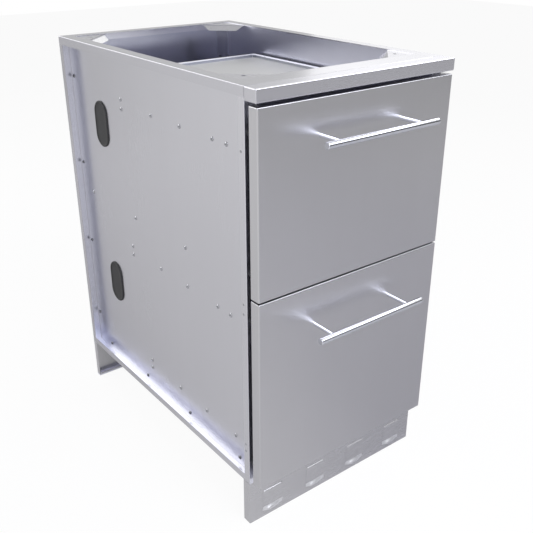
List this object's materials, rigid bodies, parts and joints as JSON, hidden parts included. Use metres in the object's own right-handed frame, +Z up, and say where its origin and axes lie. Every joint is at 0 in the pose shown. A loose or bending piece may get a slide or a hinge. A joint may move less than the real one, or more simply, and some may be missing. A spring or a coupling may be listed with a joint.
{
  "type": "outdoor kitchen drawer cabinet",
  "caption": "Open-topped stainless outdoor-kitchen base cabinet for a grill island, with stacked pull-out drawers on telescopic slides, bar handles and kick plates.",
  "frame": {"origin": "on the floor, under the middle of the box that holds the cabinet and its handles", "axes": "+Z up, -Y towards the front where the drawers pull out, +X to the right as seen from the front"},
  "size_m": [0.457, 0.7842, 0.876],
  "materials": {
    "brushed_panel": "fine brushed stainless sheet",
    "handle_steel": "polished stainless bar",
    "slide_zinc": "bright zinc plate",
    "screw_steel": "stainless, turned",
    "rubber": "dark grey moulded rubber, matt"
  },
  "bodies": {
    "cabinet": {"back_panel": "brushed_panel", "divider_panel": "brushed_panel", "drawer_buffers": "rubber", "floor_panel": "brushed_panel", "front_kick": "brushed_panel", "front_top_rail": "brushed_panel", "kick_screws": "screw_steel", "kick_vents": "brushed_panel", "left_front_gusset": "brushed_panel", "left_lower_plug": "rubber", "left_lower_slide_high_cabinet": "slide_zinc", "left_lower_slide_low_cabinet": "slide_zinc", "left_rear_gusset": "brushed_panel", "left_side_panel": "brushed_panel", "left_top_rail": "brushed_panel", "left_upper_plug": "rubber", "left_upper_slide_cabinet": "slide_zinc", "nose_rail": "brushed_panel", "panel_screws": "screw_steel", "rear_kick": "brushed_panel", "rear_top_rail": "brushed_panel", "right_front_gusset": "brushed_panel", "right_lower_plug": "rubber", "right_lower_slide_high_cabinet": "slide_zinc", "right_lower_slide_low_cabinet": "slide_zinc", "right_rear_gusset": "brushed_panel", "right_side_panel": "brushed_panel", "right_top_rail": "brushed_panel", "right_upper_plug": "rubber", "right_upper_slide_cabinet": "slide_zinc", "slide_screws": "screw_steel", "spare_screws": "screw_steel"},
    "upper_drawer": {"left_upper_slide_drawer": "slide_zinc", "right_upper_slide_drawer": "slide_zinc", "upper_drawer_back": "brushed_panel", "upper_drawer_box": "brushed_panel", "upper_drawer_front": "brushed_panel", "upper_drawer_liner": "brushed_panel", "upper_drawer_tray": "brushed_panel", "upper_handle_bar": "handle_steel", "upper_handle_posts": "handle_steel", "upper_handle_screws": "screw_steel"},
    "upper_slide_middles": {"left_upper_slide_middle": "slide_zinc", "right_upper_slide_middle": "slide_zinc"},
    "lower_drawer": {"left_lower_slide_high_drawer": "slide_zinc", "left_lower_slide_low_drawer": "slide_zinc", "lower_drawer_back": "brushed_panel", "lower_drawer_box": "brushed_panel", "lower_drawer_front": "brushed_panel", "lower_drawer_liner": "brushed_panel", "lower_handle_bar": "handle_steel", "lower_handle_posts": "handle_steel", "lower_handle_screws": "screw_steel", "right_lower_slide_high_drawer": "slide_zinc", "right_lower_slide_low_drawer": "slide_zinc"},
    "lower_slide_middles": {"left_lower_slide_high_middle": "slide_zinc", "left_lower_slide_low_middle": "slide_zinc", "right_lower_slide_high_middle": "slide_zinc", "right_lower_slide_low_middle": "slide_zinc"}
  },
  "joints": [
    {"name": "upper_drawer_slide", "type": "slide", "parent": "cabinet", "child": "upper_drawer", "axis": [0, -1, 0], "range_m": [0, 0.48]},
    {"name": "upper_slide_extend", "type": "slide", "parent": "cabinet", "child": "upper_slide_middles", "axis": [0, -1, 0], "range_m": [0, 0.24]},
    {"name": "lower_drawer_slide", "type": "slide", "parent": "cabinet", "child": "lower_drawer", "axis": [0, -1, 0], "range_m": [0, 0.48]},
    {"name": "lower_slide_extend", "type": "slide", "parent": "cabinet", "child": "lower_slide_middles", "axis": [0, -1, 0], "range_m": [0, 0.24]}
  ],
  "couplings": [
    {"joint": "upper_slide_extend", "follows": "upper_drawer_slide", "ratio": 0.5},
    {"joint": "lower_slide_extend", "follows": "lower_drawer_slide", "ratio": 0.5}
  ]
}
